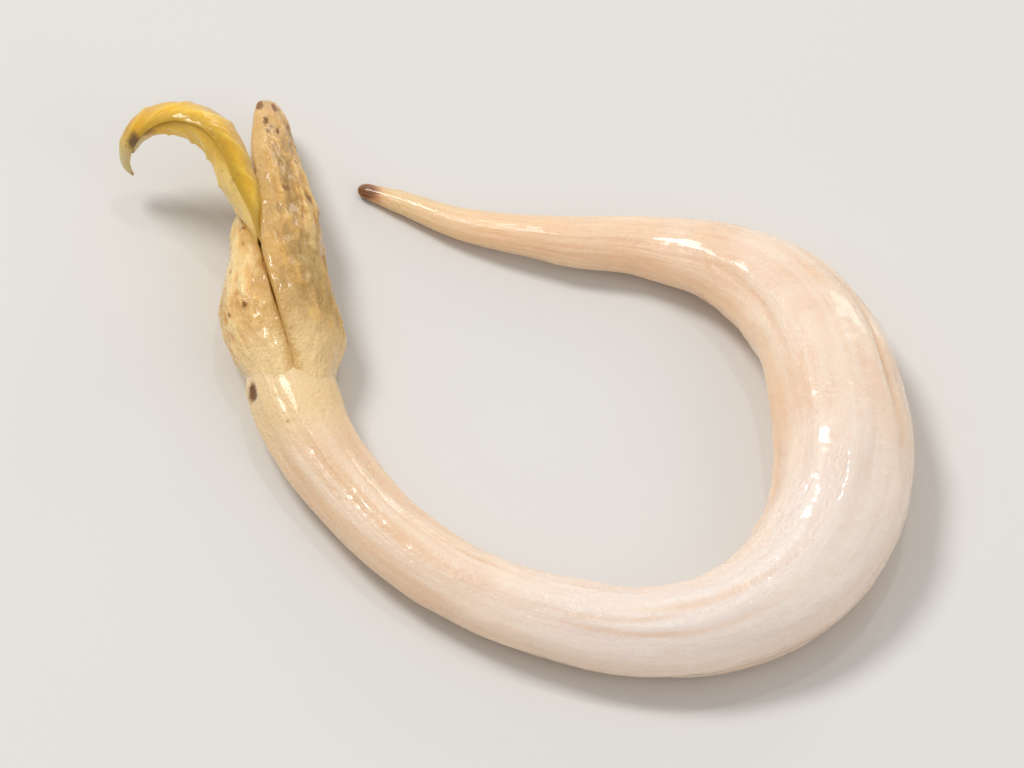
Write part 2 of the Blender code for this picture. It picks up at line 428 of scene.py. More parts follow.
stalk = {
    # from the root tip to the head: x and y from the loop's middle, half width, lift
    "line": (
        (-5.48, 5.82, 0.17, 0.10),
        (-4.66, 5.44, 0.26, 0.12),
        (-2.95, 4.60, 0.40, 0.18),
        (-0.95, 4.05, 0.56, 0.26),
        (1.35, 3.82, 0.76, 0.12),
        (3.35, 3.02, 1.12, 0.0),
        (4.75, 1.40, 1.40, 0.0),
        (5.42, -0.80, 1.54, 0.0),
        (5.50, -2.95, 1.56, 0.0),
        (4.85, -4.90, 1.48, 0.0),
        (3.40, -6.28, 1.30, 0.0),
        (1.25, -6.80, 1.13, 0.02),
        (-0.80, -6.42, 1.02, 0.06),
        (-2.82, -5.58, 0.94, 0.12),
        (-4.35, -4.42, 0.90, 0.14),
        (-5.53, -3.05, 0.91, 0.12),
        (-6.42, -1.62, 0.97, 0.12),
        (-6.91, -0.35, 1.03, 0.10),
        (-7.02, 0.15, 0.97, 0.14),
        (-7.09, 0.55, 0.78, 0.32),
        (-7.15, 0.95, 0.26, 0.76),
    ),
    "height": 0.80,  # the limp stalk's height over its width
    "pressed": 0.10, "pressedEdge": 0.05,  # how far it is pressed on the surface, and how softly
    "sides": 128,
    "cuts": (31, 19),  # in two passes, which gives 640 rings
    "rootEnds": (3.0, 9.5),  # where the wrinkled root turns into the smooth stalk
    # Angles run in degrees from the loop's outer side over the top.
    # soft ridges: angle, swing to either side, half width, height
    "ridges": (
        (20, 22, 24, 0.030), (78, 26, 20, 0.040), (128, 20, 17, 0.045),
        (182, 24, 24, 0.040), (238, 20, 22, 0.050), (300, 24, 26, 0.050),
    ),
    # grooves: angle, middle along the stalk, half length, half width, depth
    "grooves": (
        (36, 13.4, 2.2, 5.0, 0.075), (143, 27.4, 2.6, 5.0, 0.055), (112, 27.0, 2.0, 4.0, 0.040),
        (96, 20.6, 2.4, 6.0, 0.035), (60, 22.2, 2.0, 4.5, 0.035), (78, 23.4, 1.8, 4.0, 0.035),
        (160, 16.4, 2.4, 6.0, 0.045), (70, 31.0, 1.8, 6.0, 0.035), (126, 11.0, 2.4, 6.0, 0.045),
        (224, 18.0, 6.0, 7.0, 0.060), (318, 25.0, 6.0, 7.0, 0.060), (262, 10.0, 4.0, 7.0, 0.060),
    ),
    # where the limp flesh has fallen flat: angle, middle along, half length, depth
    "flats": (
        (62, 15.5, 3.2, 0.085), (118, 19.5, 3.0, 0.070), (50, 25.4, 2.6, 0.090),
        (132, 29.6, 2.2, 0.080), (88, 10.4, 2.4, 0.080), (205, 13.0, 4.0, 0.090),
        (340, 20.0, 4.0, 0.080), (275, 28.0, 4.0, 0.080), (20, 32.0, 1.8, 0.070),
    ),
    "flatSwing": 0.25, "grooveSwing": 0.20,  # how far they turn from their angle, in radians
    "flatMargin": 0.02, "flatSharpness": 40,  # how softly their edges turn
    # a brown scar under the left seed half, a faint one beside it, and a thin dark line along the root,
    # which is painted shadow:
    # along, angle, half length, half width in mm, strength
    "stains": ((33.60, 21, 0.17, 0.20, 1.0), (32.5, 60, 0.06, 0.05, 0.4), (1.7, 30, 1.3, 0.040, 0.42)),
    "stainDepth": 0.05, "stainRadius": 0.85,
    # dents of every size: pitch along, pitch around, height
    "dents": ((2.8, 0.9, 0.050), (0.95, 2.1, 0.022), (0.36, 4.6, 0.009)),
    # fine ribs that come and go: pitch along, pitch around, height, height added on the shrunken root
    "ribs": ((2.4, 5.0, 0.020, 0.045), (1.1, 11.0, 0.011, 0.010)),
    # folds across the root and on the inner side of the tight bends
    "crossFolds": {"pitch": 0.30, "root": 0.012, "bends": 0.022, "innerHalf": 0.85},
    "tightBends": ((18.6, 2.2, 1.0), (10.6, 1.3, 0.7)),  # middle along, half length, share
    "pimples": (0.15, 9, 0.005),
    "rootTipLength": 0.26, "shootEndLength": 0.14,  # over which the ends close
    "rootSwing": 0.16,
    # where in the noise each marking starts, and over how many mm it changes along the stalk
    "noise": {
        "ridgeTurn": (3.1, 7.0), "ridgeShown": (11.7, 4.5), "flatTurn": (51.3, 4.0),
        "grooveTurn": (31.3, 3.6), "grooveShown": (71.3, 1.3), "rootSwing": (5.5, 1.7),
    },
    # colours, the later ones with how much of each shows
    "tints": {
        "warm": (0.840, 0.615, 0.445), "cream": (0.905, 0.715, 0.570),
        "rootDeep": (0.840, 0.550, 0.330), "rootPale": (0.920, 0.680, 0.460),
        "bend": ((0.872, 0.778, 0.735), 0.90),
        "headwards": ((0.785, 0.560, 0.335), 0.62),
        "strands": ((0.945, 0.840, 0.730), 0.40),
        "fineStrands": ((0.800, 0.570, 0.370), 0.20),
        # painted light: the warm glow through the thin sides
        "paintedSideGlow": ((0.965, 0.650, 0.420), 0.62),
        # the grooves' colour is painted shade in them
        "grooves": ((0.800, 0.560, 0.340), 0.40),
        "blotches": ((0.840, 0.650, 0.400), 0.22),
        "peach": ((0.990, 0.590, 0.320), 0.75),
        "tipEdge": ((0.560, 0.270, 0.100), 0.70),
        "tip": ((0.170, 0.052, 0.006), 0.96),
        "neck": ((0.870, 0.640, 0.350), 0.60),
        # litJoint: matched to the seed halves' bases, and painted light lifting the dark line at the joint
        "litJoint": ((0.865, 0.615, 0.315), 0.80),
        "scarAndShadowLine": ((0.190, 0.066, 0.008), 1.0),
    },
    "rootShare": 0.85,
    # from where to where along the stalk each colour comes in or fades, in mm
    "zones": {
        "bend": (13.0, 18.5), "pastBend": (22.0, 28.5), "headwards": (25.5, 31.0), "neck": (31.0, 33.6),
        "root": (5.5, 12.5), "peach": (2.6, 6.2), "tipEdge": (1.6, 2.9), "tip": (1.75, 2.35),
    },
    "tissue": {
        "spread": (1.0, 0.92, 0.84), "spreadScale": 0.70, "ior": 1.40, "coatRoughness": 0.09,
        "fibreHeight": 0.6, "bumpDepth": 0.05, "bumpStrength": 0.8,
    },
}


def shapeStalk(obj, length):
    points = getPoints(obj)
    along, across, up = points.T
    middle = np.hypot(across, up) < 1e-6  # the middle points of the end fans
    angle = np.arctan2(up, across)
    ringX, ringY = np.cos(angle), np.sin(angle)
    root = 1 - ease(along, *stalk["rootEnds"])

    def drift(kind, index=0):
        start, pitch = stalk["noise"][kind]
        return grainAlong(along, pitch, start + index)

    reach = np.ones(len(points))
    for index, (place, swing, width, height) in enumerate(stalk["ridges"]):
        turn = math.radians(place) + math.radians(swing) * drift("ridgeTurn", index)
        shown = 0.55 + 0.9 * drift("ridgeShown", index)
        gap = np.degrees(np.abs(angleGap(angle, turn)))
        reach += height * shown * np.exp(-((gap / width) ** 2))
    for index, (place, where, halfLength, depth) in enumerate(stalk["flats"]):
        turn = math.radians(place) + stalk["flatSwing"] * drift("flatTurn", index)
        gap = np.clip(np.abs(angleGap(angle, turn)), 0, 1.25)
        level = (1 - depth * hump(along, where, halfLength)) / np.cos(gap)
        reach = softMin(reach, level + stalk["flatMargin"], stalk["flatSharpness"])
    groove = np.zeros(len(points))
    for index, (place, where, halfLength, width, depth) in enumerate(stalk["grooves"]):
        turn = math.radians(place) + stalk["grooveSwing"] * drift("grooveTurn", index)
        shown = hump(along, where, halfLength) * (0.8 + 0.5 * drift("grooveShown", index))
        gap = np.degrees(np.abs(angleGap(angle, turn)))
        cut = shown * np.exp(-((gap / width) ** 2))
        reach -= depth * cut
        groove = np.maximum(groove, cut)

    for pitch, around, height in stalk["dents"]:
        reach += height * grain(along / pitch, ringX * around, ringY * around)
    shown = np.clip(0.55 + 1.1 * grain(along / 1.4, ringX * 1.6 + 20, ringY * 1.6), 0, 1.3)
    for pitch, around, height, rootHeight in stalk["ribs"]:
        reach += (height * shown + rootHeight * root) * grain(along / pitch, ringX * around, ringY * around)
    folds = stalk["crossFolds"]
    inner = hump(np.abs(angleGap(angle, math.pi)), 0, folds["innerHalf"])
    tight = np.max([part * hump(along, where, half) for where, half, part in stalk["tightBends"]], axis=0)
    crossFold = grain(along / folds["pitch"], ringX * 0.8 + 40, ringY * 0.8)
    reach += crossFold * (folds["root"] * root + folds["bends"] * inner * tight)
    pitch, around, height = stalk["pimples"]
    reach += height * grain(along / pitch, ringX * around + 80, ringY * around)

    # the root tip and the shoot's end close to round points
    reach *= roundedEnd(along / stalk["rootTipLength"])
    reach *= roundedEnd((length - along) / stalk["shootEndLength"])
    stain = stainedAt(stalk["stains"], along, angle, stalk["stainRadius"], 7.0)
    reach -= stalk["stainDepth"] * stain
    reach = np.where(middle, 0, np.maximum(reach, 0.02))
    points[:, 1] = reach * ringX
    points[:, 2] = reach * ringY * stalk["height"]
    points[:, 1] += root * stalk["rootSwing"] * drift("rootSwing")
    setPoints(obj, points)
    storeValue(obj, "along", along)
    storeValue(obj, "groove", np.clip(groove, 0, 1))
    storeValue(obj, "stain", stain)
    # where the painted warm glow of the thin sides goes: the sides and the lower part
    storeValue(obj, "flankGlow", 1 - ease(ringY + 0.25 * ringX, -0.1, 0.95))
    storeVector(obj, "skin", np.column_stack((along, ringX * 1.2, ringY * 1.2)))


def makeStalkFinish():
    material, board, shader, place = newFinish("stalkSkin")
    tints, zones = stalk["tints"], stalk["zones"]
    along = board.attribute("along")
    litJoint = board.attribute("litJoint")
    skin = board.attribute("skin", "Vector")
    fibres = board.group(fibreGroup, Skin=skin, Stretch=0.06, Density=3.2)
    film = board.group(wetGroup, Place=place, Dry=0.42, Wet=0.24)
    cloud = board.noise(place, 0.60, 3.0)
    blotch = board.noise(place, 1.7, 3.0, 0.6)

    # whitest in the thick lower bend, warm cream elsewhere, yellower towards the head
    flesh = board.mix(board.span(cloud, 0.36, 0.64), tints["warm"], tints["cream"])
    bend = board.span(along, *zones["bend"])
    bend = board.math("MULTIPLY", bend, board.span(along, *zones["pastBend"], 1.0, 0.0))
    uneven = board.math("MULTIPLY_ADD", cloud, 3.0, along)
    rootSkin = board.mix(board.span(fibres["Fine"], 0.32, 0.68), tints["rootDeep"], tints["rootPale"])
    glow = board.span(litJoint, 0.05, 0.70, 1.0, 0.12)
    ragged = board.math("MULTIPLY_ADD", board.noise(place, 8.0, 2.0), 0.5, board.attribute("stain"))
    scarAndShadowLine = board.span(ragged, 0.40, 0.90)

    def rootwards(name):
        return board.span(uneven, *zones[name], 1.0, 0.0)

    flesh = board.layers(flesh, (
        (bend, *tints["bend"]),
        (board.span(along, *zones["headwards"]), *tints["headwards"]),
        (fibres["Strands"], *tints["strands"]),
        (board.span(fibres["Fine"], 0.56, 0.72), *tints["fineStrands"]),
        # painted light: the warm glow of light coming through the thin sides, painted into the colour
        (board.attribute("flankGlow"), *tints["paintedSideGlow"]),
        # painted shade darkening the grooves
        (board.attribute("groove"), *tints["grooves"]),
        (board.span(blotch, 0.60, 0.74), *tints["blotches"]),
        # the root: pinkish tan with darker strands, and a dark tip
        (rootwards("root"), rootSkin, stalk["rootShare"]),
        *((rootwards(name), *tints[name]) for name in ("peach", "tipEdge", "tip")),
        # the neck turns as yellow as the seed halves' bases
        (board.span(along, *zones["neck"]), *tints["neck"]),
        # where the seed halves hold on: colour matched to them, with painted light lifting the dark joint
        # line
        (board.span(litJoint, 0.15, 0.95), *tints["litJoint"]),
        # the scar, and the painted shadow line along the root
        (scarAndShadowLine, *tints["scarAndShadowLine"]),
    ))
    # the scar and the painted shadow line are dry
    coat = board.math("MULTIPLY", film["Coat"], board.math("SUBTRACT", 1.0, scarAndShadowLine))
    makeTissue(board, shader, stalk["tissue"], flesh, coat, glow, film, fibres)
    return material


def makeStalk():
    points, radii = [], []
    for x, y, halfWidth, lift in stalk["line"]:
        z = halfWidth * stalk["height"] + lift - stalk["pressed"]
        points.append(Vector((x + loopMiddle[0], y + loopMiddle[1], z)) * mm)
        radii.append(halfWidth * mm)
    guide = guideCurve("stalkGuide", points, radii, "Z_UP")
    length = guide.data.splines[0].calc_length() / mm
    obj = tube("stem_flesh", length, stalk["sides"], stalk["cuts"])
    shapeStalk(obj, length)
    points = getPoints(obj)
    points[:, 0] *= mm
    setPoints(obj, points)
    bendAlong(obj, guide)
    points = getPoints(obj)
    layDown(points, stalk["pressedEdge"])
    setPoints(obj, points)
    obj.data.shade_smooth()
    obj.data.materials.append(makeStalkFinish())
    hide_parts("stem")
    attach(obj, "root")
    print(f"stalk: {length:.1f} mm long, {len(obj.data.polygons)} faces")
    return obj


# the two halves of the seed, standing on edge with the seam between them

seedHalves = {
    "cotyledon_left": {
        "side": -1, "length": 4.5, "thick": 1.26, "height": 2.30,
        "tipShare": 0.42, "tipPower": 2.0, "opening": 0.30, "seed": 2.0,
        "flesh": (0.840, 0.510, 0.170), "deep": (0.700, 0.400, 0.110), "light": (0.920, 0.690, 0.340),
        # fold: the painted shade colour of the creases
        "fold": (0.500, 0.260, 0.060), "base": (0.860, 0.595, 0.250), "baseEnds": (-0.06, 0.40),
        "tip": (0.900, 0.660, 0.240), "specks": 0.36, "dullAndShade": (),
        # spots: along, angle, half length, half width in mm, strength
        "stains": (
            (2.0, 5, 0.16, 0.08, 0.8), (1.35, 62, 0.14, 0.08, 0.7), (1.30, 35, 0.10, 0.07, 0.6),
            (2.5, 40, 0.08, 0.05, 0.6), (3.1, 70, 0.10, 0.05, 0.6),
        ),
    },
    "cotyledon_right": {
        "side": 1, "length": 7.4, "thick": 1.50, "height": 2.45,
        "tipShare": 0.86, "tipPower": 2.5, "opening": 0.18, "seed": 9.0,
        "flesh": (0.680, 0.380, 0.085), "deep": (0.490, 0.275, 0.055), "light": (0.860, 0.580, 0.210),
        # fold: the painted shade colour of the creases
        "fold": (0.400, 0.220, 0.055), "base": (0.830, 0.600, 0.280), "baseEnds": (-0.04, 0.26),
        "tip": (0.830, 0.530, 0.230), "specks": 0.44,
        # greyish green patches, and an olive streak along the leaves that is painted shade where they lie
        # against this half
        "dullAndShade": ((2.3, 42, 0.9, 0.40, 0.8), (1.1, 20, 0.5, 0.30, 0.6), (5.0, 102, 2.3, 0.24, 1.0)),
        # dark freckles round the tip, and duller patches down the outer side
        "stains": (
            (7.05, 92, 0.20, 0.16, 1.0), (6.95, 55, 0.18, 0.20, 1.0), (6.45, 80, 0.16, 0.12, 0.9),
            (6.30, 28, 0.22, 0.12, 1.0), (5.80, 16, 0.20, 0.12, 1.0), (6.1, 60, 0.10, 0.08, 0.8),
            (4.10, 38, 0.20, 0.14, 0.9), (3.75, 18, 0.24, 0.18, 0.8), (4.3, 70, 0.12, 0.10, 0.7),
            (1.20, 4, 0.17, 0.13, 0.75), (5.2, 40, 0.10, 0.08, 0.7),
        ),
    },
}
# the halves touch up to where the leaves come out, and hold the leaf stalks in a shallow hollow
seam = {
    "bow": 0.22, "gap": -0.15, "opens": (2.5, 4.2), "hollow": 0.24, "roundness": 0.22,
    "rim": 0.24,  # the rim's thickness over the seed half's
    "uneven": 0.05, "tipLean": 0.40, "swayPitch": 0.22, "sway": 0.04,
}
# The bases fit round the end of the stalk: how far they reach down over it, how ragged their edge
# is, and their half width, half height and middle there.
grip = {
    "down": 1.5, "lobe": 0.20, "ragged": 0.11, "round": 2.6, "power": 2.8,
    "width": 1.09, "tall": 0.875, "middle": 0.83, "widens": (-0.4, 0.9), "rises": (-0.5, 1.9),
}
# what both seed halves have
seedFlesh = {
    "segments": 144, "rings": 220,
    "rimFall": 0.2,  # how much lower the upper rim is at the tip
    "pressedEdge": 0.04,
    # soft folds of shrunken flesh, smaller ones, a net of wrinkles with sharp tops, and a fine grain:
    # pitch along, pitch around, height
    "folds": (2.3, 1.7, 0.100), "small": (0.72, 3.2, 0.060),
    "net": (0.52, 4.6, 0.036), "tiny": (0.17, 11.0, 0.011),
    "creaseWidth": 0.09, "creaseDepth": 0.050,
    "stainDepth": 0.02, "stainRadius": 1.1,
    # colours, with how much of each shows
    "tints": {
        "dullAndShade": ((0.490, 0.360, 0.130), 0.70),
        # inside: painted shade on the halves' inner faces, which darkens the seam
        "inside": ((0.680, 0.410, 0.130), 0.55),
        # litJoint: paler, matched to the stalk, and painted light lifting the dark joint line
        "litJoint": ((0.905, 0.645, 0.315), 0.80),
        # shadedContact: painted shade along the seam and where the leaves lie against the halves
        "shadedContact": ((0.620, 0.350, 0.090), 0.85),
        "specks": ((0.240, 0.095, 0.015), 1.0),
        "stains": ((0.250, 0.090, 0.010), 0.92),
    },
    # how much shows of each half's own colours
    # fold is how much of the painted crease shade shows
    "shares": {"light": 0.75, "strands": 0.14, "fold": 0.28, "base": 0.88, "mottle": 0.30, "tip": 0.60},
    "tissue": {
        "spread": (1.0, 0.84, 0.62), "spreadScale": 0.36, "ior": 1.42, "coatRoughness": 0.10,
        "fibreHeight": 0.8, "bumpDepth": 0.07, "bumpStrength": 0.8,
    },
}


def shapeSeedHalf(obj, half):
    points = getPoints(obj)
    x, y, z = points.T
    fromEnd = (y + 1) / 2 * (half["length"] + grip["down"])
    along = fromEnd - grip["down"]
    share = np.clip(along / half["length"], 0, 1)
    tipRound = np.clip(1 - np.clip(y, 0, 1) ** half["tipPower"], 0, 1) ** (1 / half["tipPower"])
    baseRound = 1 - (1 - np.clip(fromEnd / grip["round"], 0, 1)) ** grip["power"]
    section = tipRound * np.clip(baseRound, 0, 1) ** (1 / grip["power"])
    spread = np.hypot(x, z)
    pole = spread < 1e-6
    spread = np.where(pole, 1, spread)
    outward, upward = half["side"] * x / spread, z / spread
    angle = np.arctan2(upward, outward)

    # full outside, a rounded rim, and nearly flat and hollow inside
    thick = half["thick"] * (1 - (1 - half["tipShare"]) * ease(share, 0.3, 1.0))
    thick = grip["width"] + (thick - grip["width"]) * ease(along, *grip["widens"])
    rim = seam["rim"] * thick
    outer = rim + (thick - rim) * np.abs(outward)
    inner = rim * (1 - np.abs(outward) ** seam["roundness"]) + seam["hollow"] * outward**6
    inner += seam["uneven"] * grain(along / 1.3 + half["seed"], upward * 1.6, outward) * outward**2
    depth = section * np.where(outward > 0, outer, inner)
    risen = ease(along, *grip["rises"])
    tall = half["height"] / 2 * (1 - seedFlesh["rimFall"] * share)
    middle = grip["middle"] + (tall - stalk["pressed"] - grip["middle"]) * risen
    tall = grip["tall"] + (tall - grip["tall"]) * risen

    seed = half["seed"]
    sideways, upwards = np.cos(angle), np.sin(angle)

    def rough(kind, shiftAlong, shiftAround):
        pitch, around, _ = seedFlesh[kind]
        return grain(along / pitch + shiftAlong, sideways * around + shiftAround, upwards * around)

    folds = rough("folds", seed, 0)
    small = rough("small", seed, 0)
    net = 1 - 2.4 * np.abs(rough("net", 0, seed))
    tiny = rough("tiny", 0, seed)
    heights = [seedFlesh[kind][2] for kind in ("folds", "small", "net", "tiny")]
    swell = sum(height * layer for height, layer in zip(heights, (folds, small, net, tiny)))
    crease = 1 - np.clip(np.abs(folds + 0.25 * small) / seedFlesh["creaseWidth"], 0, 1)
    swell -= seedFlesh["creaseDepth"] * crease**2
    outside = ease(outward, -0.3, 0.2)
    swell = swell * section * (0.3 + 0.7 * outside) * ease(along, -1.0, 1.0)
    radius = seedFlesh["stainRadius"]
    stain = stainedAt(half["stains"], along, angle, radius, seed)
    swell -= seedFlesh["stainDepth"] * stain
    depth = depth + swell * np.clip(outward, -0.2, 1)
    depth += seam["tipLean"] * thick * (1 - section) * ease(share, 0.6, 0.9)
    lift = section * upward * (tall + 0.9 * swell)

    lobe = grip["lobe"] * np.clip(upward, 0, 1)
    lobe += grip["ragged"] * grain(sideways * 1.8, upwards * 1.8, outward + seed)
    free = seam["gap"] / 2 + half["opening"] * ease(along, *seam["opens"])
    sway = seam["sway"] * grainAlong(share, seam["swayPitch"], seed) * ease(share, 0.3, 0.6)
    placed = np.column_stack((
        half["side"] * (free + depth) - seam["bow"] * np.sin(math.pi * share) + sway,
        along - lobe * section * (1 - ease(fromEnd, 0, 2.5)),
        lift + middle,
    ))
    storeValue(obj, "along", share)
    # where the creases are, later painted darker as shade
    storeValue(obj, "crease", np.clip(crease * outside, 0, 1))
    # how high the folds stand, used to paint their tops lit and their dips shaded
    storeValue(obj, "relief", 0.5 + 2.2 * (0.5 * folds + 0.35 * small + 0.12 * net) * outside)
    storeValue(obj, "inside", 1 - outside)
    storeValue(obj, "stain", stain)
    storeValue(obj, "dullAndShade", stainedAt(half["dullAndShade"], along, angle, radius, seed + 5))
    storeVector(obj, "skin", np.column_stack((along, sideways * 1.1, upwards * 1.1)))
    return placed


def makeSeedFinish(name, half):
    material, board, shader, place = newFinish(name)
    tints, shares = seedFlesh["tints"], seedFlesh["shares"]
    along = board.attribute("along")
    litJoint = board.attribute("litJoint")
    shadedContact = board.attribute("shadedContact")
    skin = board.attribute("skin", "Vector")
    fibres = board.group(fibreGroup, Skin=skin, Stretch=0.45, Density=2.4)
    specks = board.group(freckleGroup, Place=place, Pitch=2.8, Amount=half["specks"])
    film = board.group(wetGroup, Place=place, Dry=0.40, Wet=0.20)
    cloud = board.noise(place, 0.75, 3.0, 0.6)
    mottle = board.noise(place, 2.7, 3.0, 0.6)
    clouding = board.math("SUBTRACT", cloud, 0.5)

    # painted light and shade: the tops of the folds are painted paler and the dips between them darker, and
    # the flesh is mottled all over
    foldShadeAndMottle = board.math("MULTIPLY_ADD", clouding, 1.2, board.attribute("relief"))
    foldShadeAndMottle = board.math("MULTIPLY_ADD", board.math("SUBTRACT", mottle, 0.5), 1.5, foldShadeAndMottle)
    flesh = board.mix(board.span(foldShadeAndMottle, 0.10, 0.60), half["deep"], half["flesh"])
    uneven = board.math("MULTIPLY_ADD", clouding, 0.4, along)
    near = board.math("MAXIMUM", shadedContact, litJoint)
    glow = board.span(near, 0.05, 0.70, 0.85, 0.12)
    late = board.span(along, 0.35, 0.95, 0.25, 0.9)
    flesh = board.layers(flesh, (
        (board.span(foldShadeAndMottle, 0.55, 1.05), half["light"], shares["light"]),
        (fibres["Strands"], half["light"], shares["strands"]),
        # painted shade darkening the creases
        (board.attribute("crease"), half["fold"], shares["fold"]),
        (board.span(uneven, *half["baseEnds"], 1.0, 0.0), half["base"], shares["base"]),
        (board.span(mottle, 0.52, 0.66), half["light"], shares["mottle"]),
        (board.span(along, 0.70, 1.0), half["tip"], shares["tip"]),
        # greyish green patches, and painted shade along the leaves
        (board.attribute("dullAndShade"), *tints["dullAndShade"]),
        # painted shade on the inner faces, darkening the seam
        (board.attribute("inside"), *tints["inside"]),
        # paler where it holds on to the stalk, matched to it, with painted light lifting the dark joint
        # line; painted shade where the halves and the leaves touch
        (board.span(litJoint, 0.0, 0.90), *tints["litJoint"]),
        (board.span(shadedContact, 0.10, 0.90), *tints["shadedContact"]),
        (board.math("MULTIPLY", specks["Specks"], late), *tints["specks"]),
    ))
    ragged = board.math("MULTIPLY_ADD", board.noise(place, 7.0, 2.0), 0.7, board.attribute("stain"))
    colour, share = tints["stains"]
    stained = board.span(ragged, 0.50, 1.05, 0.0, share)
    flesh = board.mix(stained, flesh, colour)
    # the stains are dry
    coat = board.math("MULTIPLY", film["Coat"], board.math("SUBTRACT", 1.0, stained))
    makeTissue(board, shader, seedFlesh["tissue"], flesh, coat, glow, film, fibres)
    return material


def makeSeedHalf(name):
    half = seedHalves[name]
    deselectAll()
    bpy.ops.mesh.primitive_uv_sphere_add(
        segments=seedFlesh["segments"], ring_count=seedFlesh["rings"], radius=1,
        rotation=(math.pi / 2, 0, 0),
    )
    obj = bpy.context.object
    obj.name = name + "_flesh"
    obj.data.name = obj.name
    bpy.ops.object.transform_apply(location=True, rotation=True, scale=True)
    points = fromHead(shapeSeedHalf(obj, half))
    layDown(points, seedFlesh["pressedEdge"])
    setPoints(obj, points)
    turnFacesOut(obj)
    obj.data.shade_smooth()
    obj.data.materials.append(makeSeedFinish(name + "_skin", half))
    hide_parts(name)
    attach(obj, "root")
    print(f"{name}: {len(obj.data.polygons)} faces")
    return obj


# the two young leaves, face to face, bent over together in a hook

# their middle line in the head's frame
leafLine = (
    (-0.08, 0.55, 1.10), (-0.16, 1.25, 1.30), (-0.18, 2.15, 1.36), (-0.17, 3.00, 1.44),
    (-0.22, 3.75, 1.64), (-0.38, 4.30, 1.82), (-0.54, 4.75, 2.04), (-0.67, 5.24, 2.28),
    (-0.97, 5.74, 2.42), (-1.47, 6.15, 2.40), (-2.04, 6.38, 2.18), (-2.48, 6.37, 1.80),
    (-2.67, 6.26, 1.30), (-2.58, 6.01, 0.75),
)
# what both leaves have
leafForm = {
    "turnFrom": math.radians(78), "turnTo": math.radians(5), "turnBetween": (0.65, 0.97),
    "stalk": 0.16, "stalkShare": 0.25, "fullness": 0.78, "thick": 0.075,
    "gap": -0.012, "bow": 1.15, "archPower": 1.6, "veins": 8, "veinSlant": 0.16,
    "midribHeight": 0.055, "veinHeight": 0.042, "puffHeight": 0.060, "grainHeight": 0.008,
    "midribWidth": 0.11, "veinWidth": 0.11, "crownWidth": 0.24, "tipLength": 0.035, "buttLength": 0.012,
    "wavePitch": 11.0, "wave": 0.11, "narrowFrom": 0.66, "narrowTo": 0.90, "narrowing": 0.35,
    "sides": 96, "cuts": (19, 15),
    # colours, with how much of each shows
    "tints": {
        # shadedContact: painted shade where the leaves lie against the seed halves
        "shadedContact": ((0.520, 0.330, 0.050), 0.75),
        "spot": ((0.160, 0.080, 0.020), 1.0),
        "brownTip": ((0.300, 0.170, 0.060), 0.80),
        "specks": ((0.350, 0.190, 0.040), 0.60),
    },
    # how much shows of each leaf's own colours
    "shares": {"strands": 0.25, "vein": 0.80, "crown": 0.75, "edge": 0.85, "stalk": 0.85, "tip": 0.80},
    "coat": 0.6,
    "tissue": {
        "spread": (1.0, 0.85, 0.45), "spreadScale": 0.12, "ior": 1.42, "coatRoughness": 0.12,
        "fibreHeight": 0.7, "bumpDepth": 0.03, "bumpStrength": 0.7,
    },
}
leaves = {
    "leaf_outer": {
        "side": 1, "share": 1.00, "halfWidth": 0.60, "fold": 0.42, "seed": 4.0, "paleTo": 0.16,
        "blade": (0.890, 0.530, 0.022), "deep": (0.760, 0.400, 0.012), "light": (0.960, 0.690, 0.100),
        "crown": (0.700, 0.480, 0.210), "edge": (0.560, 0.330, 0.018), "browning": 0.95,
        "stalk": (0.930, 0.680, 0.300), "tip": (0.680, 0.610, 0.340),
    },
    "leaf_inner": {
        "side": -1, "share": 0.93, "halfWidth": 0.54, "fold": 0.24, "seed": 7.0, "paleTo": 0.52,
        "blade": (0.970, 0.590, 0.040), "deep": (0.900, 0.500, 0.020), "light": (0.985, 0.700, 0.130),
        "crown": (0.960, 0.640, 0.150), "edge": (0.640, 0.370, 0.020), "browning": 0.45,
        "stalk": (0.985, 0.690, 0.240), "tip": (0.720, 0.650, 0.380),
    },
}


